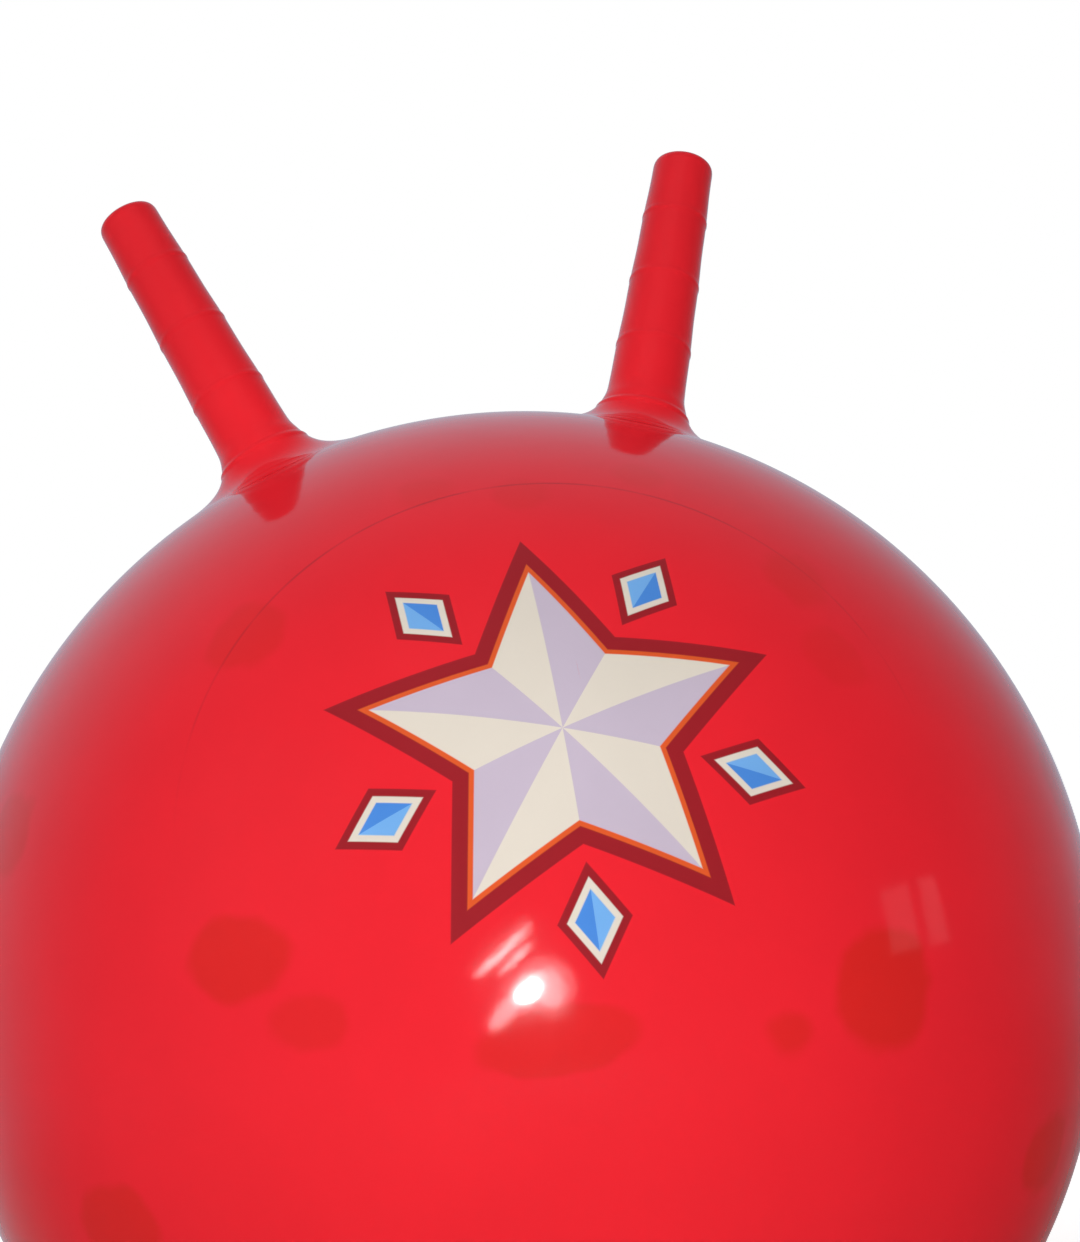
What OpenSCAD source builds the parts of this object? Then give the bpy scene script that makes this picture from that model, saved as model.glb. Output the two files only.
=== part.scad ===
// Hopper ball: an inflated vinyl ball with two ringed hand horns and a push-in valve plug.
// Millimetres, +Z up, origin on the floor under the ball's centre, front towards -Y.

/* [Ball] */
// Outer diameter of the inflated ball
ball_d = 500; // [440:5:600]
// Thickness of the vinyl skin
skin_t = 1.2; // [0.8:0.1:2]
// Diameter of the flat patch that the soft ball settles on
patch_d = 90; // [60:2:130]

/* [Horns] */
// Angle from the top of the ball out to each horn's root
root_angle = 19.4; // [17:0.1:28]
// Angle at which each horn leans outwards
horn_splay = 19.4; // [12:0.1:28]
// Angle at which each horn leans back towards the rider
horn_lean = 20; // [5:0.5:22]
// Length of each horn from the ball's surface to its tip
horn_len = 143; // [130:1:180]
// Diameter of the tapering grip where its line meets the ball
grip_root_d = 36.5; // [32:0.5:42]
// Diameter of the tapering grip where its line reaches the tip
grip_tip_d = 27.5; // [24:0.5:32]
// Height of the domed end of each horn
tip_h = 8; // [5:0.5:11]
// Wall thickness of the horns
horn_t = 2.2; // [1.6:0.1:3.5]

/* [Grip rings] */
// Number of raised rings along each grip
ring_count = 3; // [2:1:3]
// Height of the lowest ring above the ball's surface
ring_first = 41.5; // [36:0.5:46]
// Distance from one ring to the next
ring_pitch = 34.4; // [24:0.2:36]
// Rise of each ring
ring_rise = 0.5; // [0.3:0.1:1.5]
// Half of each ring's width
ring_w = 2.8; // [1.5:0.1:4]
// Depth of the hollow between two rings
hollow_depth = 0.2; // [0.1:0.1:1]

/* [Necks] */
// Diameter of each neck's foot on the ball
neck_foot_d = 84; // [76:1:96]
// Radius of the hollow curve where a neck runs into its horn
neck_r = 18; // [16:0.5:24]
// Height above the ball's surface at which a neck ends and its horn starts
neck_h = 13; // [11:0.5:14]
// Rise of the bead round each neck
bead_rise = 0.6; // [0.2:0.1:1.2]

/* [Valve] */
// Angle of the valve below the middle of the ball, at the back
valve_drop = 20; // [5:1:40]
// Bore of the valve sleeve
valve_bore_d = 9; // [7:0.2:12]
// Wall of the sleeve round its bore and its recess
sleeve_t = 2.4; // [1.6:0.1:4]
// Depth of the sleeve below the ball's surface
sleeve_depth = 15; // [10:0.5:22]
// Diameter of the sleeve's flange
flange_d = 36; // [32:0.5:48]
// Rise of the flange above the ball's surface
flange_rise = 1.6; // [1.2:0.1:3]
// Radius of the flange's rounded edge
flange_edge_r = 0.8; // [0.3:0.1:1.1]
// Diameter of the plug's head
plug_head_d = 19; // [15:0.5:24]
// Thickness of the plug's head
plug_head_t = 2.4; // [1.6:0.1:3.5]
// Length of the plug's shank below its head
plug_len = 17; // [13:0.5:24]
// Number of sealing rings on the plug's shank
seal_count = 3; // [2:1:4]
// Depth of the grooves between the sealing rings
seal_groove = 0.5; // [0.3:0.1:0.8]
// Width of the pry notch in the rim of the plug's head
notch_w = 6; // [4:0.5:8]

/* [Hidden] */
$fn = 96;

// Gap between pieces that move apart, gap between pieces of the same body, overrun of a cut
run_gap = 0.3;
seam_gap = 0.08;
overrun = 5;

// Sides and rows of the lofted necks, and steps of the curved outlines
neck_sides = 36;
neck_rows = 9;
ring_steps = 4;
hollow_steps = 6;
tip_steps = 10;
edge_steps = 6;

// How far a neck follows the ball and then the horn, as shares of the straight way between them
ball_pull_share = 0.65;
horn_pull_share = 0.25;
// Place and half width of the bead round a neck, as shares of the way from the ball to the horn
bead_share = 0.72;
bead_half_share = 0.08;
// Squareness of the domed tip: 2 is an ellipse
tip_power = 4;
// Depth of the plug head's crown and of its notch, as shares of the head's thickness
crown_share = 0.25;
notch_share = 0.6;
// Length of the plug's lead-in taper and its end radius, as shares of the shank
lead_share = 0.25;
lead_r_share = 0.6;

ball_r = ball_d / 2;
patch_r = patch_d / 2;
ball_z = sqrt(ball_r * ball_r - patch_r * patch_r);
foot_r = neck_foot_d / 2;
foot_angle = asin(foot_r / ball_r);
bore_r = valve_bore_d / 2;
head_r = plug_head_d / 2;
recess_r = head_r + run_gap;
recess_floor = flange_rise - plug_head_t - run_gap;
barrel_r = recess_r + sleeve_t;
barrel_end = recess_floor - sleeve_t;
shank_r = bore_r - run_gap;

RED = [0.88, 0.10, 0.13];
DARK_RED = [0.78, 0.09, 0.12];
WHITE = [0.93, 0.93, 0.90];

function unit(v) = v / norm(v);
function arc(r, from, to, steps) = [for (i = [0:steps])
    let (a = from + (to - from) * i / steps)
    r * [cos(a), sin(a)]];
// A smooth ridge of height 1 and half width w about 0
function ridge(x, w) = abs(x) < w ? (1 + cos(180 * x / w)) / 2 : 0;

// Radius of the grip at a height above the ball's surface: taper, neck's hollow curve and rings
function taper_r(z) = (grip_root_d + (grip_tip_d - grip_root_d) * z / horn_len) / 2;
function flare_r(z) = z < neck_r ? neck_r - sqrt(neck_r * neck_r - pow(neck_r - z, 2)) : 0;
function ring_z(k) = ring_first + ring_pitch * k;
function hollow_r(z) = z > ring_z(-1) && z < ring_z(ring_count)
    ? hollow_depth * pow(sin(180 * (z - ring_first) / ring_pitch), 2) : 0;
function rings_r(z) = ring_rise * max([for (k = [0:ring_count - 1]) ridge(z - ring_z(k), ring_w)]);
function neck_line_r(z) = taper_r(z) + flare_r(z) - hollow_r(z);
function grip_r(z) = neck_line_r(z) + rings_r(z);

// Heights at which the grip's outline is drawn: close together over a ring, wide over a hollow
function ridge_heights(mid, w) = [for (j = [-ring_steps:ring_steps]) mid + w * j / ring_steps];
function between(from, to) = [for (i = [1:hollow_steps - 1]) from + (to - from) * i / hollow_steps];
tip_z = horn_len - tip_h;
grip_heights = concat(
    [neck_h],
    [for (k = [0:ring_count - 1])
        let (below = k == 0 ? neck_h : ring_z(k - 1) + ring_w)
        each concat(between(below, ring_z(k) - ring_w), ridge_heights(ring_z(k), ring_w))],
    between(ring_z(ring_count - 1) + ring_w, tip_z));

// Outline of the domed end, for a grip of radius r and a dome of height h
function dome(r, h) = [for (i = [0:tip_steps]) let (a = 90 * i / tip_steps)
    [r * pow(cos(a), 2 / tip_power), tip_z + h * pow(sin(a), 2 / tip_power)]];

// Directions of the right side's root and horn, seen from the ball's centre
root_dir = [sin(root_angle), 0, cos(root_angle)];
horn_dir = [sin(horn_splay), cos(horn_splay) * sin(horn_lean), cos(horn_splay) * cos(horn_lean)];
root_x = unit(cross([0, 1, 0], root_dir));
root_y = cross(root_dir, root_x);
horn_x = unit(root_x - (root_x * horn_dir) * horn_dir);
horn_y = cross(horn_dir, horn_x);

function around(x, y, turn) = cos(turn) * x + sin(turn) * y;
function bezier(p, s) = pow(1 - s, 3) * p[0] + 3 * pow(1 - s, 2) * s * p[1]
    + 3 * (1 - s) * pow(s, 2) * p[2] + pow(s, 3) * p[3];
function bezier_slope(p, s) = pow(1 - s, 2) * (p[1] - p[0]) + 2 * (1 - s) * s * (p[2] - p[1])
    + pow(s, 2) * (p[3] - p[2]);

// One line of the neck from its foot on the ball to the bottom of the horn.
// It leaves the ball along the ball's surface and arrives along the horn's own outline.
function neck_line(turn, sphere_r, top_r, top_z) =
    let (out = around(root_x, root_y, turn), side = around(horn_x, horn_y, turn))
    let (edge = foot_angle - seam_gap / ball_r * 180 / PI)
    let (foot = sphere_r * (cos(edge) * root_dir + sin(edge) * out))
    let (top = ball_r * root_dir + top_z * horn_dir + top_r * side)
    let (way = norm(top - foot))
    let (leave = sin(edge) * root_dir - cos(edge) * out)
    let (slope = (neck_line_r(top_z + seam_gap) - neck_line_r(top_z)) / seam_gap)
    let (arrive = unit(horn_dir + slope * side))
    [foot, foot + ball_pull_share * way * leave, top - horn_pull_share * way * arrive, top];

// Point of one of the neck's lines, raised where the bead crosses it
function beaded(line, turn, s) =
    let (along = cross(root_dir, around(root_x, root_y, turn)))
    let (rise = bead_rise * ridge(s - bead_share, bead_half_share))
    bezier(line, s) + rise * unit(cross(along, bezier_slope(line, s)));

// Shares of the way at which the outside is drawn: close together over the bead
function steps_to(from, to, steps) = [for (j = [1:steps]) from + (to - from) * j / steps];
bead_start = bead_share - bead_half_share;
bead_end = bead_share + bead_half_share;
outer_shares = concat([0], steps_to(0, bead_start, neck_rows),
    steps_to(bead_start, bead_end, 2 * ring_steps), steps_to(bead_end, 1, ring_steps));

// Rings of points up the outside of the neck and down its inside, and the faces that join them
module neck() {
    top_z = neck_h - run_gap;
    top_r = neck_line_r(top_z);
    turns = [for (i = [0:neck_sides - 1]) 360 * i / neck_sides];
    outer = [for (turn = turns) neck_line(turn, ball_r, top_r, top_z)];
    inner = [for (turn = turns) neck_line(turn, ball_r - skin_t, top_r - horn_t, top_z)];
    rings = concat(
        [for (s = outer_shares) [for (i = [0:neck_sides - 1]) beaded(outer[i], turns[i], s)]],
        [for (j = [neck_rows:-1:0]) [for (line = inner) bezier(line, j / neck_rows)]]);
    rows = len(rings);
    function at(j, i) = (j % rows) * neck_sides + i % neck_sides;
    polyhedron(
        points = [for (ring = rings) each ring],
        faces = [for (j = [0:rows - 1], i = [0:neck_sides - 1])
            each [
                [at(j, i), at(j + 1, i), at(j, i + 1)],
                [at(j, i + 1), at(j + 1, i), at(j + 1, i + 1)]]]);
}

module horn() {
    outside = concat([for (z = grip_heights) [grip_r(z), z]], dome(neck_line_r(tip_z), tip_h));
    inside_r = taper_r(neck_h) + flare_r(neck_h) - hollow_depth - horn_t;
    inside = concat(
        [[inside_r, neck_h], [taper_r(neck_r) - hollow_depth - horn_t, neck_r]],
        dome(taper_r(tip_z) - hollow_depth - horn_t, tip_h - horn_t));
    rotate_extrude()
        polygon(concat(outside, [for (i = [len(inside) - 1:-1:0]) inside[i]]));
}

// Puts a horn drawn up the Z axis from the ball's surface on the right side's root
module at_right_root() {
    translate([0, 0, ball_z] + ball_r * root_dir)
        rotate([-horn_lean, 0, 0])
            rotate([0, horn_splay, 0])
                children();
}

// Puts what is drawn up the Z axis from the ball's surface at the valve
module at_valve() {
    translate([0, 0, ball_z])
        rotate([-90 - valve_drop, 0, 0])
            translate([0, 0, ball_r])
                children();
}

// A ball about its own centre, cut flat where it settles on the floor
module settled_ball(r, floor_z) {
    difference() {
        sphere(r = r);
        translate([0, 0, floor_z - r])
            cube([2 * (r + overrun), 2 * (r + overrun), 2 * r], center = true);
    }
}

module ball_skin() {
    reach = ball_r + overrun;
    color(RED)
        difference() {
            translate([0, 0, ball_z])
                difference() {
                    settled_ball(ball_r, -ball_z);
                    settled_ball(ball_r - skin_t, skin_t - ball_z);
                    for (side = [-1, 1])
                        rotate([0, side * root_angle, 0])
                            cylinder(h = reach, r1 = 0, r2 = reach * tan(foot_angle));
                }
            at_valve()
                translate([0, 0, -sleeve_depth])
                    cylinder(h = sleeve_depth + overrun, r = barrel_r + seam_gap);
        }
}

module right_neck() {
    color(RED)
        translate([0, 0, ball_z])
            neck();
}

module left_neck() {
    mirror([1, 0, 0])
        right_neck();
}

module right_horn() {
    color(DARK_RED)
        at_right_root()
            horn();
}

module left_horn() {
    mirror([1, 0, 0])
        right_horn();
}

// The flange lies on the ball, the barrel passes through the skin and carries the recess for the head
module valve_sleeve() {
    flange_r = flange_d / 2;
    tube_r = bore_r + sleeve_t;
    seat_r = ball_r + seam_gap;
    underside = [for (i = [0:edge_steps]) let (x = barrel_r + (flange_r - barrel_r) * i / edge_steps)
        [x, sqrt(seat_r * seat_r - x * x) - ball_r]];
    rim_middle = [flange_r - flange_edge_r, flange_rise - flange_edge_r];
    rim = [for (p = arc(flange_edge_r, 0, 90, edge_steps)) rim_middle + p];
    color(DARK_RED)
        at_valve()
            rotate_extrude()
                polygon(concat(
                    [[bore_r, -sleeve_depth], [tube_r, -sleeve_depth]],
                    [[tube_r, barrel_end], [barrel_r, barrel_end]],
                    underside, rim,
                    [[recess_r, flange_rise], [recess_r, recess_floor], [bore_r, recess_floor]]));
}

// The head lies in the recess, and the ringed shank fills the bore
module valve_plug() {
    head_z = flange_rise - plug_head_t;
    crown = crown_share * plug_head_t;
    notch_floor = flange_rise - notch_share * plug_head_t;
    lead_z = head_z - plug_len * (1 - lead_share);
    end_z = head_z - plug_len;
    pitch = (head_z - lead_z) / seal_count;
    groove_r = shank_r - seal_groove;
    seals = [for (k = [0:seal_count - 1])
        let (z = lead_z + pitch * k, mid = z + pitch / 2)
        each [[shank_r, z], [shank_r, mid], [groove_r, mid], [groove_r, z + pitch]]];
    color(WHITE)
        at_valve()
            difference() {
                rotate_extrude()
                    polygon(concat(
                        [[0, end_z], [shank_r * lead_r_share, end_z]], seals,
                        [[head_r, head_z], [head_r, flange_rise - crown]],
                        [[head_r - crown, flange_rise], [0, flange_rise]]));
                translate([-notch_w / 2, head_r - crown - notch_w / 2, notch_floor])
                    cube([notch_w, notch_w, plug_head_t]);
            }
}

ball_skin();
left_neck();
right_neck();
left_horn();
right_horn();
valve_sleeve();
valve_plug();
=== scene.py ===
"""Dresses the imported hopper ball: glossy vinyl ball, ringed hand horns, valve and a pale studio."""

from math import asin, atan2, cos, pi, radians, sin, sqrt

import bpy
from mathutils import Matrix, Vector


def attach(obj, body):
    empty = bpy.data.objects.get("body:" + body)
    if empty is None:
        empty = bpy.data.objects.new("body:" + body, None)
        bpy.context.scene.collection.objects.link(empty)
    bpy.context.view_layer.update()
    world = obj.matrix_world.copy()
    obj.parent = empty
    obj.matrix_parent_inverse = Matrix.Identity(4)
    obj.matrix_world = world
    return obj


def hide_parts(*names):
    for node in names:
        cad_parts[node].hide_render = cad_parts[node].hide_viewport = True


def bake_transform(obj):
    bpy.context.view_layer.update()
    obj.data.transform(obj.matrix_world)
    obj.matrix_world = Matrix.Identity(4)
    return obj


bl_info = {
    "name": "Hopper Ball",
    "version": (1, 0, 0),
    "blender": (4, 5, 0),
    "location": "View3D > Sidebar > Hopper Ball",
    "description": "Builds the skin, horns, valve and studio of a hopper ball round its frame",
    "category": "Add Mesh",
}

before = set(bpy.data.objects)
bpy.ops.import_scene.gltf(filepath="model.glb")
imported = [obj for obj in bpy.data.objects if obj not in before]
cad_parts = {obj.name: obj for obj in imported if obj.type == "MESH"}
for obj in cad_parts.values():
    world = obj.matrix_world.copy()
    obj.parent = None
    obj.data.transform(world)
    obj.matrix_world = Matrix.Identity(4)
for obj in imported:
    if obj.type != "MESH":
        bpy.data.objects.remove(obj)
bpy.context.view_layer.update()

MILLIMETRE = 0.001

# Sides round each horn, which the ball's mesh shares, and rings of the ball from pole to pole
SIDES = 192
BALL_RINGS = 180
# Rows of the modelled horn: neck, half a ridge, stretch between two ridges, domed tip
NECK_ROWS = 60
RIDGE_ROWS = 6
HOLLOW_ROWS = 10
TIP_ROWS = 18
# How far from the ball's surface, and from the floor, a vertex may lie and still count as on it
ON_BALL = MILLIMETRE / 20
ON_FLOOR = MILLIMETRE / 100
# Short step of height over which a slope is taken, and distance within which two halves merge
SLOPE_STEP = MILLIMETRE / 10
MERGE_DISTANCE = MILLIMETRE / 100

# Brightness of the vinyl's colour in its darkest clouds, and what the palest ones have more
CLOUD_DARKEST = 0.93
CLOUD_RANGE = 0.14
# Roughness of clean vinyl, and what smudges and scuffs add to it at most
CLEAN_ROUGHNESS = 0.045
SMUDGE_ROUGHNESS = 0.07
SCUFF_ROUGHNESS = 0.015
# Heights of the vinyl's fine relief, in mm
WAVE_HEIGHT = 0.20
CRINKLE_HEIGHT = 0.016
PEEL_HEIGHT = 0.006

# Strength of the spots' colour, and the softness and unevenness of their edges
SPOT_STRENGTH = 0.75
SPOT_SOFTNESS = 3.5 * MILLIMETRE
SPOT_UNEVENNESS = 14 * MILLIMETRE
# Level of the noise at which a spot's edge keeps its own radius
SPOT_NOISE_LEVEL = 0.35
# Strength of the film's fine edge, and softness of the line between two printed facets, in radians
FILM_STRENGTH = 0.5
FACET_SOFTNESS = 0.004
# Share of its white that the plug keeps where it is grubby, its roughness, and what scuffs add at most
PLUG_GRIME = 0.86
PLUG_ROUGHNESS = 0.30
PLUG_SCUFFS = 0.2

# Cool grey that reflections take from the room
VEIL_TINT = (0.66, 0.82, 0.97)
# Its brightness before the ball, what is added behind the ball, and the share that is left on the right
VEIL_FRONT = 0.18
VEIL_BEHIND = 0.48
VEIL_RIGHT = 0.33
# Where it turns pale behind the ball and dark on the right: cosine of the direction, and softness
VEIL_BEHIND_EDGE = (0.45, 0.55)
VEIL_RIGHT_EDGE = (0.6, 0.6)
# Light that comes from all round, and the glow that keeps the floor pale near the ball and far from it
FILL_STRENGTH = 0.30
NEAR_GLOW = 0.48
FAR_GLOW = 0.74
# Side of the floor, and its darkest and palest tone
FLOOR_SIZE = 30
FLOOR_TONES = (0.86, 0.86, 0.86), (0.90, 0.90, 0.90)
# Distance at which the floor counts as far, and softness of that change, both in radii of the ball
FAR_RADII = 4
FAR_SOFT_RADII = 2.5
# Distance of the window and the soft lamps from the ball, and of the flash behind the camera
ROOM_RADIUS = 2.6
FLASH_SETBACK = 0.12

# Darker spots of the skin: degrees to the right of the front, degrees above the middle, radius in mm,
# how much lower than wide each one is, and how strongly it shows
SPOTS = (
    (-34, 9, 24, 1.4, 0.9), (-28, 3, 16, 1.3, 0.6), (23, -1, 25, 1.0, 1.0), (13, -3, 10, 1.0, 0.8),
    (-7, -1, 33, 2.4, 0.7), (-37, 39, 19, 1.0, 0.5), (29, 29, 15, 1.0, 0.3), (31, 38, 17, 1.0, 0.4),
    (20, 55, 13, 1.0, 0.3), (0, 54, 14, 1.0, 0.3), (-15, 56, 13, 1.0, 0.3), (-52, -14, 24, 1.2, 0.8),
    (48, -20, 20, 1.1, 0.8), (-18, -28, 21, 1.3, 0.8), (22, -34, 16, 1.0, 0.7), (62, 14, 21, 1.1, 0.6),
    (-68, 22, 20, 1.0, 0.7), (84, -8, 24, 1.2, 0.9), (-88, -6, 18, 1.0, 0.8), (100, 30, 20, 1.1, 0.7),
    (-106, 28, 23, 1.2, 0.8), (118, -16, 17, 1.0, 0.7), (-124, -20, 21, 1.1, 0.9), (136, 16, 24, 1.2, 0.8),
    (-142, 8, 17, 1.0, 0.7), (155, 42, 19, 1.0, 0.6), (-160, 40, 22, 1.1, 0.7), (165, -44, 18, 1.0, 0.8),
    (-150, -42, 24, 1.2, 0.8), (70, -44, 19, 1.1, 0.7), (-80, -46, 21, 1.0, 0.8), (178, 16, 15, 1.0, 0.7),
)


def rgb(red, green, blue):
    """Turns a colour of 0 to 255 a channel into the linear numbers that shaders take."""
    def linear(value):
        share = value / 255
        return share / 12.92 if share <= 0.04045 else ((share + 0.055) / 1.055) ** 2.4
    return linear(red), linear(green), linear(blue)


def length(name, description, default):
    """A length for a property group, in metres."""
    return bpy.props.FloatProperty(name=name, description=description, default=default, unit="LENGTH")


def angle(name, description, default):
    """An angle for a property group, from degrees."""
    return bpy.props.FloatProperty(
        name=name, description=description, default=radians(default), subtype="ANGLE")


def colour(name, description, default):
    """A linear colour for a property group."""
    return bpy.props.FloatVectorProperty(
        name=name, description=description, default=default, subtype="COLOR", size=3, min=0, max=1)


def number(name, description, default):
    """A plain number for a property group."""
    return bpy.props.FloatProperty(name=name, description=description, default=default)


class HopperBallSizes(bpy.types.PropertyGroup):
    """Real sizes of the ball and its horns."""

    ball_diameter: length("Ball", "Outer diameter of the inflated ball", 0.5)
    patch_diameter: length("Patch", "Diameter of the flat patch that the ball settles on", 0.09)
    root_angle: angle("Root", "Angle from the top of the ball out to each horn's root", 19.4)
    horn_splay: angle("Splay", "Angle at which each horn leans outwards", 19.4)
    horn_lean: angle("Lean", "Angle at which each horn leans back towards the rider", 20)
    horn_length: length("Horn", "Length of each horn from the ball's surface to its tip", 0.143)
    grip_root_diameter: length("Grip root", "Diameter of the tapering grip at the ball", 0.0365)
    grip_tip_diameter: length("Grip tip", "Diameter of the tapering grip at the tip", 0.0275)
    tip_height: length("Tip", "Height of the domed end of each horn", 0.008)
    tip_power: number("Tip squareness", "Squareness of the domed end: 2 is an ellipse", 4)
    ring_count: bpy.props.IntProperty(
        name="Rings", description="Number of raised rings along each grip", default=3, min=1)
    ring_first: length("First ring", "Height of the lowest ring above the ball", 0.0415)
    ring_pitch: length("Ring pitch", "Distance from one ring to the next", 0.0344)
    ring_rise: length("Ring rise", "Rise of each ring", 0.0003)
    ring_half_width: length("Ring half width", "Half of each ring's width", 0.0024)
    hollow_depth: length("Hollow", "Depth of the hollow between two rings", 0.0002)
    neck_foot_diameter: length("Neck foot", "Diameter of each neck's foot on the ball", 0.084)
    neck_radius: length("Neck radius", "Radius of the hollow curve under each horn", 0.018)
    neck_height: length("Neck height", "Height at which the neck runs into its horn", 0.013)
    ball_pull: number("Ball pull", "How far a neck follows the ball, as a share of its straight way", 0.65)
    horn_pull: number("Horn pull", "How far a neck follows its horn, as a share of its straight way", 0.25)
    bead_rise: length("Bead rise", "Rise of the bead round each neck", 0.00045)
    bead_place: number("Bead place", "Place of the bead on the way from the ball to the horn", 0.72)
    bead_half: number("Bead half width", "Half of the bead's width, as a share of that way", 0.08)
    flex_height: length("Flex height", "Height above the root over which a neck bends", 0.02)


class HopperBallColours(bpy.types.PropertyGroup):
    """Colours of the vinyl, its print and the plug."""

    skin: colour("Skin", "Red of the ball", rgb(242, 35, 47))
    spot: colour("Spots", "Darker red of the spots", rgb(218, 36, 26))
    horn: colour("Horns", "Red of the horns towards their tips", rgb(235, 33, 43))
    # Painted bounce light: the horns are painted brighter towards the ball, standing in for light that the
    # ball throws up on them
    horn_root_painted_bounce: colour("Horn roots", "Red of the horns towards the ball", rgb(255, 35, 47))
    cream: colour("Cream", "Pale side of the printed star", rgb(232, 222, 208))
    lilac: colour("Lilac", "Shaded side of the printed star", rgb(205, 190, 208))
    blue: colour("Blue", "Shaded side of the printed diamonds", rgb(78, 142, 226))
    pale_blue: colour("Pale blue", "Pale side of the printed diamonds", rgb(120, 180, 242))
    maroon: colour("Maroon", "Outline of the print", rgb(160, 30, 38))
    orange: colour("Orange", "Fine line inside the outline", rgb(230, 92, 40))
    plug: colour("Plug", "White of the valve plug", rgb(238, 237, 230))


class HopperBallPrint(bpy.types.PropertyGroup):
    """Place and sizes of the printed star."""

    azimuth: angle("Azimuth", "Angle of the print's middle to the right of the front", -2.7)
    elevation: angle("Elevation", "Angle of the print's middle above the ball's middle", 25.5)
    film_elevation: angle("Film elevation", "Angle of the film's middle above the ball's middle", 19.4)
    tilt: angle("Tilt", "Turn of the star", 0)
    points: bpy.props.IntProperty(name="Points", description="Points of the star", default=5, min=3)
    tip_radius: length("Tip radius", "Distance of the star's points from its middle", 0.078)
    notch_radius: length("Notch radius", "Distance of the star's notches from its middle", 0.039)
    outline: length("Outline", "Width of the dark outline", 0.006)
    fine_line: length("Fine line", "Width of the fine line inside the outline", 0.002)
    gem_distance: length("Gem distance", "Distance of the small diamonds from the star's middle", 0.074)
    gem_length: length("Gem length", "Half of each diamond's length, away from the star's middle", 0.016)
    gem_width: length("Gem width", "Half of each diamond's width", 0.0105)
    gem_outline: length("Gem outline", "Width of the dark outline round each diamond", 0.003)
    gem_border: length("Gem border", "Width of the pale border in each diamond", 0.0025)
    film_radius: length("Film radius", "Radius of the clear film that carries the print", 0.1575)
    film_line: length("Film line", "Width of the film's fine edge", 0.0005)
    edge: length("Edge", "Softness of the printed edges", 0.0003)


class HopperBallStudio(bpy.types.PropertyGroup):
    """Camera and light."""

    image_width: number("Image width", "Width of the picture in pixels", 1080)
    image_height: number("Image height", "Height of the picture in pixels", 1242)
    focal_pixels: number("Focal length", "Focal length in pixels", 3091.7)
    ball_x: number("Ball x", "Pixel column of the ball's centre", 525.03)
    ball_y: number("Ball y", "Pixel row of the ball's centre", 980.02)
    azimuth: angle("Azimuth", "Turn of the camera round the ball", 9.18)
    elevation: angle("Elevation", "Height of the camera over the ball", 4.40)
    roll: angle("Roll", "Roll of the camera", 7.24)
    distance: length("Distance", "Distance of the camera from the ball's centre", 1.3707)


GROUPS = {
    "hopper_ball_sizes": HopperBallSizes,
    "hopper_ball_colours": HopperBallColours,
    "hopper_ball_print": HopperBallPrint,
    "hopper_ball_studio": HopperBallStudio,
}


class Wire:
    """A shader socket whose arithmetic adds Math nodes to its tree."""

    def __init__(self, socket):
        self.socket = socket
        self.tree = socket.id_data

    @staticmethod
    def node(tree, kind, settings=None, sockets=None, output=0):
        """Adds a node, sets it up, fills or links its inputs and returns one of its outputs."""
        made = tree.nodes.new(kind)
        for name, value in (settings or {}).items():
            setattr(made, name, value)
        for name, value in (sockets or {}).items():
            if isinstance(value, Wire):
                tree.links.new(value.socket, made.inputs[name])
            else:
                made.inputs[name].default_value = value
        return Wire(made.outputs[output])

    def math(self, operation, *others):
        values = dict(enumerate((self, *others)))
        return Wire.node(self.tree, "ShaderNodeMath", {"operation": operation}, values)

    def __add__(self, other):
        return self.math("ADD", other)

    __radd__ = __add__

    def __sub__(self, other):
        return self.math("SUBTRACT", other)

    def __rsub__(self, other):
        return self.math("MULTIPLY_ADD", -1.0, other)

    def __mul__(self, other):
        return self.math("MULTIPLY", other)

    __rmul__ = __mul__

    def vector(self, operation, other=(0, 0, 0), output="Vector"):
        """Vector Math with another vector."""
        return Wire.node(
            self.tree, "ShaderNodeVectorMath", {"operation": operation}, {0: self, 1: other}, output)

    def dot(self, other):
        return self.vector("DOT_PRODUCT", other, "Value")

    def below(self, edge, soft):
        """1 where the value lies under an edge, 0 where it lies over it, with a soft step."""
        return Wire.node(
            self.tree, "ShaderNodeMapRange", {"interpolation_type": "SMOOTHSTEP"},
            {"Value": self, "From Min": edge - soft, "From Max": edge + soft, "To Min": 1.0, "To Max": 0.0})

    def noise(self, scale, detail=2.0, roughness=0.5):
        """Noise over a position, from 0 to 1."""
        return Wire.node(
            self.tree, "ShaderNodeTexNoise", None,
            {"Vector": self, "Scale": scale, "Detail": detail, "Roughness": roughness}, "Fac")

    def choose(self, off, on):
        """Mixes two colours by this factor."""
        sockets = {0: self, 6: solid(off), 7: solid(on)}
        return Wire.node(self.tree, "ShaderNodeMix", {"data_type": "RGBA"}, sockets, 2)


def solid(paint):
    """A colour with its alpha, or a wire as it is."""
    return paint if isinstance(paint, Wire) else (*paint, 1.0)


def new_material(name):
    """Adds a material and returns it with its shader node and its object position."""
    material = bpy.data.materials.new(name)
    material.use_nodes = True
    shader = material.node_tree.nodes["Principled BSDF"]
    position = Wire.node(material.node_tree, "ShaderNodeTexCoord", output="Object")
    return material, shader, position


def link(wire, shader, socket):
    """Feeds a wire into one of a shader's sockets."""
    wire.tree.links.new(wire.socket, shader.inputs[socket])


def on_ball(azimuth, elevation):
    """Direction from the ball's centre, by radians to the right of the front and above the middle."""
    return Vector((sin(azimuth) * cos(elevation), -cos(azimuth) * cos(elevation), sin(elevation)))


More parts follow.
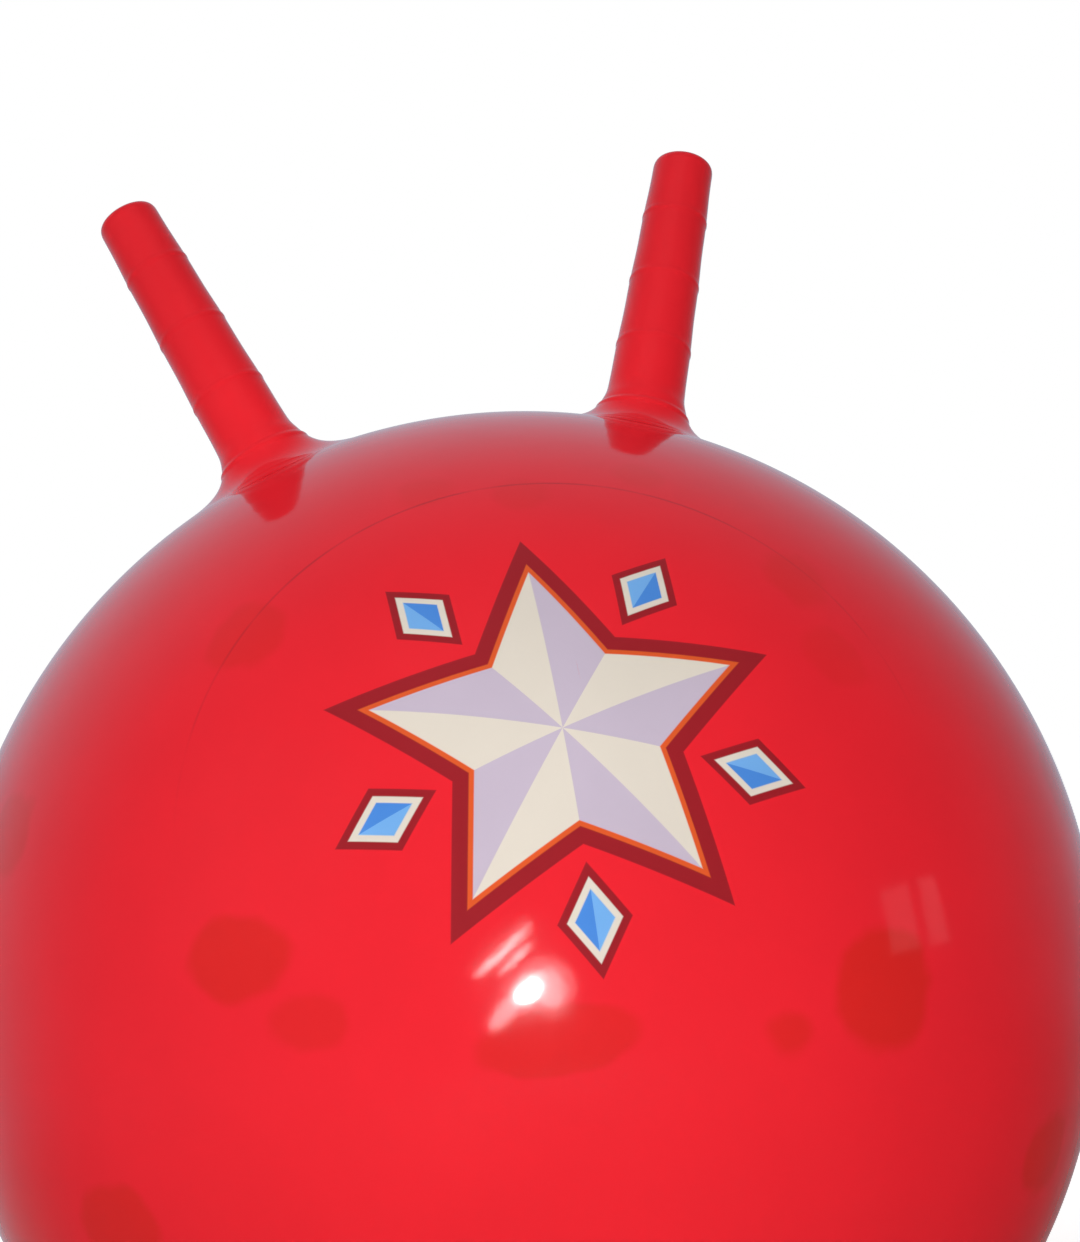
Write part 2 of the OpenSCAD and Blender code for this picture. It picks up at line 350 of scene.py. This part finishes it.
def vinyl_surface(shader, position, paint):
    """Glossy moulded vinyl: faint clouds in the colour, smudges, soft waves, crinkles and a fine peel."""
    clouds = position.noise(14.0, 3.0)
    smudges = position.noise(38.0, 4.0, 0.6)
    scuffs = position.noise(420.0, 2.0)
    brightness = CLOUD_DARKEST + clouds * CLOUD_RANGE
    shaded = Wire.node(
        position.tree, "ShaderNodeHueSaturation", None, {"Color": paint, "Value": brightness})
    link(shaded, shader, "Base Color")
    roughness = CLEAN_ROUGHNESS + smudges * SMUDGE_ROUGHNESS + scuffs * SCUFF_ROUGHNESS
    link(roughness, shader, "Roughness")
    waves = position.noise(24.0, 2.0)
    crinkles = position.noise(150.0, 2.0)
    peel = position.noise(330.0, 1.0)
    relief = waves * WAVE_HEIGHT + crinkles * CRINKLE_HEIGHT + peel * PEEL_HEIGHT
    bump = Wire.node(
        position.tree, "ShaderNodeBump", None, {"Height": relief, "Distance": MILLIMETRE, "Strength": 1.0})
    link(bump, shader, "Normal")
    shader.inputs["IOR"].default_value = 1.5


class BallShape:
    """Places on the ball that follow from its sizes."""

    def __init__(self, sizes):
        self.radius = sizes.ball_diameter / 2
        self.patch_radius = sizes.patch_diameter / 2
        self.centre = Vector((0, 0, sqrt(self.radius ** 2 - self.patch_radius ** 2)))
        self.foot_angle = asin(sizes.neck_foot_diameter / 2 / self.radius)
        self.root_direction = Vector((sin(sizes.root_angle), 0, cos(sizes.root_angle)))
        self.root = self.centre + self.radius * self.root_direction


class HornShape:
    """The right horn's outline, its neck and its place on the ball."""

    def __init__(self, sizes):
        self.sizes = sizes
        self.ball = BallShape(sizes)
        splay, lean = sizes.horn_splay, sizes.horn_lean
        self.up = Vector((sin(splay), cos(splay) * sin(lean), cos(splay) * cos(lean)))
        root = self.ball.root_direction
        self.foot_x = Vector((0, 1, 0)).cross(root).normalized()
        self.foot_y = root.cross(self.foot_x)
        self.x = (self.foot_x - self.foot_x.dot(self.up) * self.up).normalized()
        self.y = self.up.cross(self.x)

    def ring_height(self, index):
        return self.sizes.ring_first + self.sizes.ring_pitch * index

    def neck_line(self, z):
        """Radius without rings and bead: taper, hollow curve of the neck, hollows between rings."""
        s = self.sizes
        narrowing = (s.grip_root_diameter - s.grip_tip_diameter) * z / s.horn_length
        taper = (s.grip_root_diameter - narrowing) / 2
        flare = s.neck_radius - sqrt(s.neck_radius ** 2 - max(s.neck_radius - z, 0) ** 2)
        ringed = self.ring_height(-1) < z < self.ring_height(s.ring_count)
        hollow = s.hollow_depth * sin(pi * (z - s.ring_first) / s.ring_pitch) ** 2 if ringed else 0
        return taper + flare - hollow

    def radius(self, z):
        """Radius of the horn at a height, with its rings."""
        s = self.sizes
        rings = max(ridge(z - self.ring_height(k), s.ring_half_width) for k in range(s.ring_count))
        return self.neck_line(z) + s.ring_rise * rings

    def profile(self):
        """Radius and height of each row of the horn, from its bottom to its tip."""
        s = self.sizes
        heights = [s.neck_height]
        for k in range(s.ring_count):
            middle, half = self.ring_height(k), s.ring_half_width
            heights += between(heights[-1], middle - half, HOLLOW_ROWS)
            heights += [middle + half * j / RIDGE_ROWS for j in range(-RIDGE_ROWS, RIDGE_ROWS + 1)]
        tip_z = s.horn_length - s.tip_height
        heights += between(heights[-1], tip_z, HOLLOW_ROWS)
        rows = [(self.radius(z), z) for z in heights]
        tip_r = self.neck_line(tip_z)
        power = 2 / s.tip_power
        for i in range(TIP_ROWS):
            turn = pi / 2 * i / TIP_ROWS
            rows.append((tip_r * cos(turn) ** power, tip_z + s.tip_height * sin(turn) ** power))
        return rows + [(0, s.horn_length)]

    def neck_point(self, turn, share):
        """Point of the neck on one of its lines, from the foot on the ball, 0, to the horn, 1."""
        s, ball = self.sizes, self.ball
        outward = cos(turn) * self.foot_x + sin(turn) * self.foot_y
        side = cos(turn) * self.x + sin(turn) * self.y
        foot = ball.centre + ball.radius * (
            cos(ball.foot_angle) * ball.root_direction + sin(ball.foot_angle) * outward)
        top = ball.root + s.neck_height * self.up + self.neck_line(s.neck_height) * side
        leave = sin(ball.foot_angle) * ball.root_direction - cos(ball.foot_angle) * outward
        widening = self.neck_line(s.neck_height + SLOPE_STEP) - self.neck_line(s.neck_height)
        arrive = (self.up + widening / SLOPE_STEP * side).normalized()
        way = (top - foot).length
        points = (foot, foot + s.ball_pull * way * leave, top - s.horn_pull * way * arrive, top)
        weights = ((1 - share) ** 3, 3 * (1 - share) ** 2 * share, 3 * (1 - share) * share ** 2, share ** 3)
        spot = sum((w * p for w, p in zip(weights, points)), Vector())
        steps = [end - start for start, end in zip(points, points[1:])]
        along = (1 - share) ** 2 * steps[0] + 2 * (1 - share) * share * steps[1] + share ** 2 * steps[2]
        rise = s.bead_rise * ridge(share - s.bead_place, s.bead_half)
        return spot + rise * ball.root_direction.cross(outward).cross(along).normalized()

    def place(self):
        """Matrix that puts a horn drawn up the Z axis on its root."""
        turned = Matrix((self.x, self.y, self.up)).transposed().to_4x4()
        return Matrix.Translation(self.ball.root) @ turned


def ridge(x, half_width):
    """A smooth ridge of height 1 about 0."""
    return (1 + cos(pi * x / half_width)) / 2 if abs(x) < half_width else 0


def between(start, end, steps):
    """Heights between two others, without the ends."""
    return [start + (end - start) * i / steps for i in range(1, steps)]


def deselect_objects():
    """Leaves edit mode and selects nothing."""
    if bpy.context.object and bpy.context.object.mode != "OBJECT":
        bpy.ops.object.mode_set(mode="OBJECT")
    bpy.ops.object.select_all(action="DESELECT")


def select_only(piece):
    """Makes a piece the active object and the only selected one."""
    deselect_objects()
    piece.select_set(True)
    bpy.context.view_layer.objects.active = piece


def finish_piece(piece, material):
    """Gives a piece its material and smooth shading."""
    piece.data.materials.clear()
    piece.data.materials.append(material)
    bpy.ops.object.shade_smooth()


class HOPPERBALL_OT_skin(bpy.types.Operator):
    """Model the inflated ball with its openings for the necks and its flat patch"""

    bl_idname = "hopperball.skin"
    bl_label = "Ball Skin"

    def execute(self, context):
        sizes = context.scene.hopper_ball_sizes
        ball = BallShape(sizes)
        deselect_objects()
        bpy.ops.mesh.primitive_uv_sphere_add(
            segments=SIDES, ring_count=BALL_RINGS, radius=ball.radius, location=ball.centre,
            rotation=(0, sizes.root_angle, 0))
        piece = context.object
        piece.name = "vinyl_ball"
        bpy.ops.object.transform_apply(location=True, rotation=True, scale=True)
        bpy.ops.object.mode_set(mode="EDIT")
        foot_plane = ball.centre + ball.radius * cos(ball.foot_angle) * ball.root_direction
        bpy.ops.mesh.bisect(plane_co=(0, 0, 0), plane_no=(1, 0, 0), clear_inner=True)
        bpy.ops.mesh.select_all(action="SELECT")
        bpy.ops.mesh.bisect(plane_co=foot_plane, plane_no=ball.root_direction, clear_outer=True)
        bpy.ops.mesh.select_all(action="SELECT")
        bpy.ops.mesh.bisect(plane_co=(0, 0, 0), plane_no=(0, 0, 1), clear_inner=True, use_fill=True)
        bpy.ops.object.mode_set(mode="OBJECT")
        mirror = piece.modifiers.new("other_half", "MIRROR")
        mirror.merge_threshold = MERGE_DISTANCE
        bpy.ops.object.modifier_apply(modifier=mirror.name)
        round_on_ball(piece, ball)
        finish_piece(piece, ball_vinyl(context))
        radial_normals(piece, ball)
        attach(piece, "ball")
        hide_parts("ball_skin")
        return {"FINISHED"}


def on_sphere(vertex, ball):
    """Whether a vertex lies on the round part of the ball."""
    off_ball = abs((vertex.co - ball.centre).length - ball.radius)
    return off_ball < ON_BALL and vertex.co.z > ON_FLOOR


def round_on_ball(piece, ball):
    """Puts the vertices that the cuts left on straight edges back on the ball."""
    for vertex in piece.data.vertices:
        if on_sphere(vertex, ball):
            vertex.co = ball.centre + (vertex.co - ball.centre).normalized() * ball.radius


def radial_normals(piece, ball):
    """Points the normals on the ball straight out, so that pieces meet on it without a seam."""
    normals = [
        (v.co - ball.centre).normalized() if on_sphere(v, ball) else v.normal for v in piece.data.vertices]
    piece.data.normals_split_custom_set_from_vertices(normals)


class HOPPERBALL_OT_horns(bpy.types.Operator):
    """Model the two ringed hand horns with their flared necks"""

    bl_idname = "hopperball.horns"
    bl_label = "Horns"

    def execute(self, context):
        sizes = context.scene.hopper_ball_sizes
        shape = HornShape(sizes)
        material = horn_vinyl(context)
        right = model_horn(shape)
        select_only(right)
        bpy.ops.object.duplicate()
        left = context.object
        left.name = "left_grip"
        left.data.transform(Matrix.Scale(-1, 4, (1, 0, 0)))
        bpy.ops.object.mode_set(mode="EDIT")
        bpy.ops.mesh.select_all(action="SELECT")
        bpy.ops.mesh.flip_normals()
        bpy.ops.object.mode_set(mode="OBJECT")
        start = shape.ball.root
        end = start + sizes.flex_height * shape.ball.root_direction
        for piece, side, flip in ((right, "right", 1), (left, "left", -1)):
            select_only(piece)
            finish_piece(piece, material)
            radial_normals(piece, shape.ball)
            mirrored = Vector((flip, 1, 1))
            start * mirrored
            end * mirrored
            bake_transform(piece)
            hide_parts(side + "_neck", side + "_horn")
        return {"FINISHED"}


def model_horn(shape):
    """Extrudes the right horn row by row from a circle, then draws its neck on to the ball."""
    rows = shape.profile()
    first_r, first_z = rows[0]
    neck_step = first_z / NECK_ROWS
    deselect_objects()
    bpy.ops.mesh.primitive_circle_add(vertices=SIDES, radius=first_r)
    piece = bpy.context.object
    piece.name = "right_grip"
    bpy.ops.object.mode_set(mode="EDIT")
    bpy.ops.mesh.select_all(action="SELECT")
    for _ in range(NECK_ROWS):
        bpy.ops.mesh.extrude_region_move(TRANSFORM_OT_translate={"value": (0, 0, neck_step)})
    for (r, z), (next_r, next_z) in zip(rows, rows[1:]):
        bpy.ops.mesh.extrude_region_move(TRANSFORM_OT_translate={"value": (0, 0, next_z - z)})
        if next_r > 0:
            grow = next_r / r
            bpy.ops.transform.resize(value=(grow, grow, 1), center_override=(0, 0, next_z))
        else:
            bpy.ops.mesh.merge(type="CENTER")
    bpy.ops.object.mode_set(mode="OBJECT")
    place = shape.place()
    for vertex in piece.data.vertices:
        share = vertex.co.z / first_z
        if share < 1 - 0.5 / NECK_ROWS:
            vertex.co = shape.neck_point(atan2(vertex.co.y, vertex.co.x), max(share, 0))
        else:
            vertex.co = place @ vertex.co
    bpy.ops.object.mode_set(mode="EDIT")
    bpy.ops.mesh.select_all(action="SELECT")
    bpy.ops.mesh.normals_make_consistent(inside=False)
    bpy.ops.object.mode_set(mode="OBJECT")
    return piece


class HOPPERBALL_OT_valve(bpy.types.Operator):
    """Finish the valve's flange and its plug"""

    bl_idname = "hopperball.valve"
    bl_label = "Valve"

    def execute(self, context):
        red = bpy.data.materials["horn_vinyl"]
        for name, material in (("valve_sleeve", red), ("valve_plug", plug_plastic(context))):
            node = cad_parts[name]
            node.data.materials.clear()
            node.data.materials.append(material)
        return {"FINISHED"}


def ball_vinyl(context):
    """Red vinyl with darker spots and the printed star on its clear film."""
    colours = context.scene.hopper_ball_colours
    design = context.scene.hopper_ball_print
    ball = BallShape(context.scene.hopper_ball_sizes)
    material, shader, position = new_material("ball_vinyl")
    direction = position.vector("SUBTRACT", ball.centre).vector("NORMALIZE")

    wobble = (position.noise(45.0, 2.0) - SPOT_NOISE_LEVEL) * SPOT_UNEVENNESS
    spots = None
    for azimuth, elevation, spot_radius, flatness, depth in SPOTS:
        offset = direction.vector("SUBTRACT", on_ball(radians(azimuth), radians(elevation)))
        away = offset.vector("MULTIPLY", (1, 1, flatness)).vector("LENGTH", output="Value") * ball.radius
        mask = (away + wobble).below(spot_radius * MILLIMETRE, SPOT_SOFTNESS) * depth
        spots = mask if spots is None else spots.math("MAXIMUM", mask)
    paint = (spots * SPOT_STRENGTH).choose(colours.skin, colours.spot)

    paint = star_print(paint, direction, design, colours, ball.radius)
    vinyl_surface(shader, position, paint)
    return material


def star_print(paint, direction, design, colours, ball_radius):
    """Draws the star, its diamonds and the film's edge over the paint, in lengths along the ball."""
    axis = on_ball(design.azimuth, design.elevation)
    right = Vector((0, 0, 1)).cross(axis).normalized()
    right = Matrix.Rotation(design.tilt, 3, axis) @ right
    up = axis.cross(right)
    reach = direction.dot(axis).math("ARCCOSINE") * ball_radius
    turn = direction.dot(up).math("ARCTAN2", direction.dot(right)) - pi / 2
    half_sector = pi / design.points
    fold = turn.math("PINGPONG", half_sector)
    along = reach * fold.math("COSINE")
    across = reach * fold.math("SINE")

    notch = design.notch_radius * Vector((cos(half_sector), sin(half_sector)))
    normal = Vector((notch.y, design.tip_radius - notch.x)).normalized()
    off_edge = (along - design.tip_radius) * normal.x + across * normal.y

    film_axis = on_ball(design.azimuth, design.film_elevation)
    film_reach = direction.dot(film_axis).math("ARCCOSINE") * ball_radius
    film = (film_reach - design.film_radius).math("ABSOLUTE").below(design.film_line, design.film_line)
    upper_side = 1 - direction.dot((0, 0, 1)).below(0.55, 0.25)
    unworn = direction.noise(9.0).below(0.55, 0.2)
    paint = (film * upper_side * unworn * FILM_STRENGTH).choose(paint, colours.maroon)

    one_side = turn.math("WRAP", half_sector, -half_sector).below(0.0, FACET_SOFTNESS)
    gem_along = reach * (half_sector - fold).math("COSINE") - design.gem_distance
    gem_across = reach * (half_sector - fold).math("SINE")
    gem_slope = Vector((design.gem_width, design.gem_length)).normalized()
    off_gem = gem_along.math("ABSOLUTE") * gem_slope.x + (gem_across - design.gem_width) * gem_slope.y
    gem_facets = one_side.choose(colours.blue, colours.pale_blue)
    paint = off_gem.below(design.gem_outline, design.edge).choose(paint, colours.maroon)
    paint = off_gem.below(0.0, design.edge).choose(paint, colours.cream)
    paint = off_gem.below(-design.gem_border, design.edge).choose(paint, gem_facets)

    paint = off_edge.below(design.outline, design.edge).choose(paint, colours.maroon)
    paint = off_edge.below(0.0, design.edge).choose(paint, colours.orange)
    star_facets = one_side.choose(colours.cream, colours.lilac)
    return off_edge.below(-design.fine_line, design.edge).choose(paint, star_facets)


def horn_vinyl(context):
    """Red vinyl of the horns with painted bounce light: brighter towards the ball, a little deeper towards
    their tips.
    """
    colours = context.scene.hopper_ball_colours
    sizes = context.scene.hopper_ball_sizes
    root = BallShape(sizes).root
    material, shader, position = new_material("horn_vinyl")
    height = position.dot((0, 0, 1)) + position.noise(20.0) * 0.3 * sizes.horn_length
    # Painted bounce light: 1 towards the ball, where the brighter root red stands in for light bounced off
    # the ball
    tone = height.below(root.z + 0.5 * sizes.horn_length, 0.5 * sizes.horn_length)
    vinyl_surface(shader, position, tone.choose(colours.horn, colours.horn_root_painted_bounce))
    return material


def plug_plastic(context):
    """Satin white plastic with fine scuffs."""
    material, shader, position = new_material("plug_plastic")
    white = context.scene.hopper_ball_colours.plug
    grubby = [share * PLUG_GRIME for share in white]
    link(position.noise(160.0, 4.0).choose(grubby, white), shader, "Base Color")
    link(PLUG_ROUGHNESS + position.noise(900.0, 2.0) * PLUG_SCUFFS, shader, "Roughness")
    return material


class HOPPERBALL_OT_studio(bpy.types.Operator):
    """Set up the pale floor, the soft light and the camera"""

    bl_idname = "hopperball.studio"
    bl_label = "Studio"

    def execute(self, context):
        ball = BallShape(context.scene.hopper_ball_sizes)
        studio = context.scene.hopper_ball_studio
        context.scene.view_settings.view_transform = "Standard"
        make_floor(ball, studio.azimuth)
        make_surroundings(context.scene, studio.azimuth)
        eye = make_camera(context, studio, ball)
        make_lamps(ball, eye)
        return {"FINISHED"}


def veil(heading, azimuth):
    """Grey that reflections show in a direction: paler behind the ball, and on its left."""
    behind = 1 - heading.dot((sin(azimuth), cos(azimuth), 0)).below(*VEIL_BEHIND_EDGE)
    left_of_ball = heading.dot((cos(azimuth), -sin(azimuth), 0)).below(*VEIL_RIGHT_EDGE)
    return (VEIL_FRONT + behind * VEIL_BEHIND) * (VEIL_RIGHT + left_of_ball * (1 - VEIL_RIGHT))


def make_floor(ball, azimuth):
    """A wide pale floor that keeps the ball's shadow and carries the veil on below the horizon."""
    deselect_objects()
    bpy.ops.mesh.primitive_plane_add(size=FLOOR_SIZE)
    floor = bpy.context.object
    floor.name = "floor"
    material, shader, position = new_material("pale_floor")
    glossy_ray = Wire.node(position.tree, "ShaderNodeLightPath", output="Is Glossy Ray")
    camera_ray = Wire.node(position.tree, "ShaderNodeLightPath", output="Is Camera Ray")
    mottled = position.noise(3.0).choose(*FLOOR_TONES)
    distance = position.vector("LENGTH", output="Value")
    far = 1 - distance.below(FAR_RADII * ball.radius, FAR_SOFT_RADII * ball.radius)
    mirrored = veil(position.vector("SUBTRACT", ball.centre).vector("NORMALIZE"), azimuth)
    link(glossy_ray.choose(mottled, mirrored * (1 - far)), shader, "Base Color")
    glow = camera_ray * (NEAR_GLOW + far * (FAR_GLOW - NEAR_GLOW))
    far_veil = (far * mirrored).choose((0, 0, 0), VEIL_TINT)
    link(glossy_ray.choose(glow, far_veil), shader, "Emission Color")
    shader.inputs["Emission Strength"].default_value = 1.0
    shader.inputs["Roughness"].default_value = 0.9
    shader.inputs["Specular IOR Level"].default_value = 0.0
    floor.data.materials.append(material)


def make_surroundings(scene, azimuth):
    """White to the camera, a veil of cool grey in reflections, even fill light."""
    world = bpy.data.worlds.new("studio")
    scene.world = world
    world.use_nodes = True
    tree = world.node_tree
    background = tree.nodes["Background"]
    heading = Wire.node(tree, "ShaderNodeTexCoord", output="Generated")
    camera_ray = Wire.node(tree, "ShaderNodeLightPath", output="Is Camera Ray")
    glossy_ray = Wire.node(tree, "ShaderNodeLightPath", output="Is Glossy Ray")
    strength = glossy_ray * veil(heading, azimuth) + (1 - glossy_ray) * FILL_STRENGTH
    strength = camera_ray + (1 - camera_ray) * strength
    link(strength, background, "Strength")
    tint = glossy_ray.choose((1, 1, 1), VEIL_TINT)
    link(tint, background, "Color")


def make_camera(context, studio, ball):
    """Places the camera so that the ball's centre falls on its pixel, and returns its place."""
    ray = Vector((
        (studio.ball_x - studio.image_width / 2) / studio.focal_pixels,
        (studio.image_height / 2 - studio.ball_y) / studio.focal_pixels,
        -1)).normalized()
    side = Vector((0, 1, 0)).cross(-ray).normalized()
    aim = Matrix((side, (-ray).cross(side), -ray)).transposed()
    upright = Matrix(((1, 0, 0), (0, 0, 1), (0, -1, 0)))
    to_camera = aim @ Matrix.Rotation(studio.roll, 3, "Z") @ Matrix.Rotation(studio.elevation, 3, "X")
    to_camera = to_camera @ upright @ Matrix.Rotation(studio.azimuth, 3, "Z")
    turned = to_camera.transposed()
    eye = ball.centre - turned @ (ray * studio.distance)
    deselect_objects()
    bpy.ops.object.camera_add(location=eye, rotation=turned.to_euler())
    camera = context.object
    camera.data.lens = studio.focal_pixels / studio.image_height * camera.data.sensor_width
    context.scene.camera = camera
    return eye


def make_lamps(ball, eye):
    """A flash by the camera with its flares, a two-paned window, and soft fill that isn't mirrored."""
    forward = (eye - ball.centre).normalized()
    beside = Vector((0, 0, 1)).cross(forward).normalized()
    above = forward.cross(beside)

    def near_camera(right, up):
        return eye + FLASH_SETBACK * forward + right * beside + up * above

    def in_room(azimuth, elevation):
        return ball.centre + ROOM_RADIUS * on_ball(radians(azimuth), radians(elevation))

    # Name, place, turn in degrees, width and height in metres, power in watts
    lamps = (
        ("flash", near_camera(0.01, -0.05), 30, (0.115, 0.065), 5.2),
        ("flash_halo", near_camera(0.10, -0.05), 15, (0.13, 0.18), 0.4),
        ("flash_wide_halo", near_camera(0.09, -0.04), 25, (0.24, 0.26), 0.45),
        ("flash_tail", near_camera(-0.10, -0.12), 42, (0.22, 0.08), 0.4),
        ("flash_streak", near_camera(-0.085, 0.135), 37, (0.34, 0.022), 0.5),
        ("flash_second_streak", near_camera(-0.03, 0.10), 40, (0.19, 0.014), 0.2),
        ("window_pane_near", in_room(64, 3), 0, (0.32, 0.42), 0.18),
        ("window_pane_far", in_room(72.5, 3), 0, (0.22, 0.42), 0.13),
        ("soft_left", in_room(-60, 30), 0, (1.6, 1.6), 7),
        ("soft_top", in_room(-5, 62), 0, (1.6, 1.6), 13),
        ("soft_back", in_room(171, 2), 0, (1.8, 0.45), 32),
    )
    for name, place, tilt, (width, height), power in lamps:
        deselect_objects()
        turned = (place - ball.centre).to_track_quat("Z", "Y").to_matrix()
        turned = turned @ Matrix.Rotation(radians(tilt), 3, "Z")
        bpy.ops.object.light_add(type="AREA", location=place, rotation=turned.to_euler())
        lamp = bpy.context.object
        lamp.name = name
        lamp.data.shape = "ELLIPSE" if name.startswith("flash") else "RECTANGLE"
        lamp.data.size = width
        lamp.data.size_y = height
        lamp.data.energy = power
        lamp.visible_glossy = not name.startswith("soft")


class HOPPERBALL_PT_build(bpy.types.Panel):
    """Lists the steps that build the hopper ball"""

    bl_label = "Hopper Ball"
    bl_space_type = "VIEW_3D"
    bl_region_type = "UI"
    bl_category = "Hopper Ball"

    def draw(self, context):
        for operator in OPERATORS:
            self.layout.operator(operator.bl_idname)
        for name, group in GROUPS.items():
            box = self.layout.box()
            for field in group.__annotations__:
                box.prop(getattr(context.scene, name), field)


OPERATORS = (HOPPERBALL_OT_skin, HOPPERBALL_OT_horns, HOPPERBALL_OT_valve, HOPPERBALL_OT_studio)
CLASSES = (*GROUPS.values(), *OPERATORS, HOPPERBALL_PT_build)


def register():
    for item in CLASSES:
        bpy.utils.register_class(item)
    for name, group in GROUPS.items():
        setattr(bpy.types.Scene, name, bpy.props.PointerProperty(type=group))


def unregister():
    for name in GROUPS:
        delattr(bpy.types.Scene, name)
    for item in reversed(CLASSES):
        bpy.utils.unregister_class(item)


def main():
    register()
    bpy.ops.hopperball.skin()
    bpy.ops.hopperball.horns()
    bpy.ops.hopperball.valve()
    bpy.ops.hopperball.studio()


if __name__ == "__main__":
    main()
